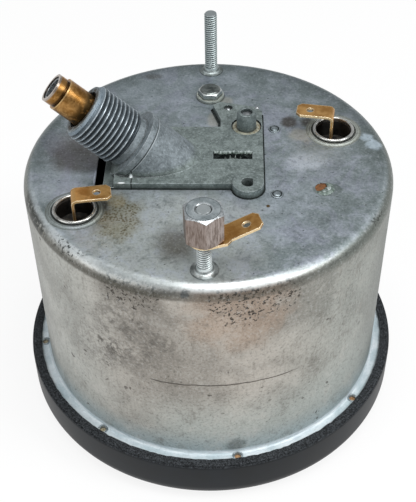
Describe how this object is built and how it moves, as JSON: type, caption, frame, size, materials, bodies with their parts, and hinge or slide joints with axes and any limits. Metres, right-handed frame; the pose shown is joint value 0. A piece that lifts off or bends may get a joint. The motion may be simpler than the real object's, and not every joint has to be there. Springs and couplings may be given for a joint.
{
  "type": "mechanical speedometer",
  "caption": "Round dashboard speedometer with a plated can, black bezel, angled threaded cable drive, two studs, two lamp holders and a magnetic pointer movement.",
  "frame": {"origin": "centre of the bezel's front plane, on which the instrument lies face down", "axes": "+Z from the face to the back along the pointer's axis; the studs lie on the Y axis; the cable spigot leans towards -X, which is down on the dial"},
  "size_m": [0.1266, 0.1266, 0.1194],
  "materials": {
    "plated_steel": "zinc-plated sheet steel, dulled and stained",
    "bezel_black": "satin black paint",
    "cork": "cork sheet",
    "rubber": "black rubber",
    "glass": "clear flat glass",
    "black_plastic": "matt black moulding",
    "dial_black": "matt black with white print",
    "zinc": "zinc die casting, dull grey",
    "steel": "bright zinc-plated steel",
    "nut_steel": "dull grey plated steel",
    "nickel": "nickel-plated brass shell",
    "brass": "tarnished brass",
    "pale_fibre": "pale fibre washer",
    "brown_seal": "brown sealing compound",
    "magnet": "sintered magnet",
    "aluminium": "thin spun aluminium",
    "pointer_paint": "orange enamel",
    "gear_plastic": "natural nylon",
    "number_black": "black number wheel with white figures",
    "number_white": "white number wheel with black figures"
  },
  "bodies": {
    "housing": {"case": "plated_steel", "bezel": "bezel_black", "flange_gasket": "cork", "lens_gasket": "rubber", "lens": "glass", "visor_ring": "black_plastic", "dial": "dial_black", "dial_screws": "steel", "drive_casting": "zinc", "casting_screws": "steel", "casting_washers": "steel", "casting_rivets": "steel", "boss_washer": "pale_fibre", "access_plug": "brown_seal", "drive_bush": "brass", "hairspring": "brass", "spring_post": "steel", "pointer_bush": "brass", "front_plate": "steel", "frame_pillars": "steel", "dial_posts": "steel", "counter_frame": "steel", "odometer_axle": "steel", "transfer_pinions": "gear_plastic", "mounting_studs": "steel"},
    "main_spindle": {"main_spindle": "steel", "spindle_gear": "gear_plastic", "magnet": "magnet", "field_cup": "steel"},
    "drive_shaft": {"drive_shaft": "steel", "drive_gear": "gear_plastic"},
    "cross_shaft": {"cross_shaft": "steel", "worm_wheel": "brass"},
    "counter_shaft": {"counter_shaft": "steel", "counter_wheel": "brass"},
    "odometer_1": {"odometer_gear": "gear_plastic", "odometer_wheel_1": "number_white"},
    "pointer": {"pointer_spindle": "steel", "drag_cup": "aluminium", "pointer": "pointer_paint"},
    "earth_blade": {"earth_blade": "brass"},
    "stud_nut": {"stud_nut": "nut_steel"},
    "odometer_2": {"odometer_wheel_2": "number_black"},
    "odometer_3": {"odometer_wheel_3": "number_black"},
    "odometer_4": {"odometer_wheel_4": "number_black"},
    "odometer_5": {"odometer_wheel_5": "number_black"},
    "odometer_6": {"odometer_wheel_6": "number_black"},
    "lamp_right": {"lamp_shell_right": "nickel", "lamp_insulator_right": "black_plastic", "lamp_blade_right": "brass", "lamp_bulb_right": "glass"},
    "lamp_left": {"lamp_shell_left": "nickel", "lamp_insulator_left": "black_plastic", "lamp_blade_left": "brass", "lamp_bulb_left": "glass"}
  },
  "joints": [
    {"name": "main_spin", "type": "hinge", "parent": "housing", "child": "main_spindle", "pos_m": [0, 0, 0.0745], "axis": [0, 0, 1], "continuous": true},
    {"name": "drive_spin", "type": "hinge", "parent": "housing", "child": "drive_shaft", "pos_m": [0, 0, 0.0745], "axis": [-0.7373, 0, 0.6756], "continuous": true},
    {"name": "cross_spin", "type": "hinge", "parent": "housing", "child": "cross_shaft", "pos_m": [0.0076, 0, 0.0851], "axis": [0, 1, 0], "continuous": true},
    {"name": "counter_spin", "type": "hinge", "parent": "housing", "child": "counter_shaft", "pos_m": [0.01185, 0.0152, 0.06], "axis": [0, 0, 1], "continuous": true},
    {"name": "odometer_1_spin", "type": "hinge", "parent": "housing", "child": "odometer_1", "pos_m": [0.02, 0, 0.0249], "axis": [0, 1, 0], "continuous": true},
    {"name": "odometer_2_spin", "type": "hinge", "parent": "housing", "child": "odometer_2", "pos_m": [0.02, 0, 0.0249], "axis": [0, 1, 0], "continuous": true},
    {"name": "odometer_3_spin", "type": "hinge", "parent": "housing", "child": "odometer_3", "pos_m": [0.02, 0, 0.0249], "axis": [0, 1, 0], "continuous": true},
    {"name": "odometer_4_spin", "type": "hinge", "parent": "housing", "child": "odometer_4", "pos_m": [0.02, 0, 0.0249], "axis": [0, 1, 0], "continuous": true},
    {"name": "odometer_5_spin", "type": "hinge", "parent": "housing", "child": "odometer_5", "pos_m": [0.02, 0, 0.0249], "axis": [0, 1, 0], "continuous": true},
    {"name": "odometer_6_spin", "type": "hinge", "parent": "housing", "child": "odometer_6", "pos_m": [0.02, 0, 0.0249], "axis": [0, 1, 0], "continuous": true},
    {"name": "pointer_swing", "type": "hinge", "parent": "housing", "child": "pointer", "pos_m": [0, 0, 0.03], "axis": [0, 0, 1], "range_deg": [0, 270], "stiffness_Nm_per_rad": 0.00002},
    {"name": "earth_blade_travel", "type": "slide", "parent": "housing", "child": "earth_blade", "axis": [0, 0, 1], "range_m": [-0.0084, 0]},
    {"name": "nut_turn", "type": "hinge", "parent": "earth_blade", "child": "stud_nut", "pos_m": [0, -0.0486, 0.105], "axis": [0, 0, 1], "range_deg": [-3825, 45]},
    {"name": "lamp_right_pull", "type": "slide", "parent": "housing", "child": "lamp_right", "axis": [0, 0, 1], "range_m": [0, 0.03]},
    {"name": "lamp_left_pull", "type": "slide", "parent": "housing", "child": "lamp_left", "axis": [0, 0, 1], "range_m": [0, 0.03]}
  ],
  "couplings": [
    {"joint": "drive_spin", "follows": "main_spin", "ratio": -1},
    {"joint": "cross_spin", "follows": "main_spin", "ratio": -0.05},
    {"joint": "counter_spin", "follows": "main_spin", "ratio": -0.0041667},
    {"joint": "odometer_1_spin", "follows": "main_spin", "ratio": 0.00083333},
    {"joint": "odometer_2_spin", "follows": "main_spin", "ratio": 0.000083333},
    {"joint": "odometer_3_spin", "follows": "main_spin", "ratio": 0.0000083333},
    {"joint": "odometer_4_spin", "follows": "main_spin", "ratio": 0.00000083333},
    {"joint": "odometer_5_spin", "follows": "main_spin", "ratio": 0.000000083333},
    {"joint": "odometer_6_spin", "follows": "main_spin", "ratio": 0.0000000083333},
    {"joint": "nut_turn", "follows": "earth_blade_travel", "rad_per_m": 7854}
  ]
}
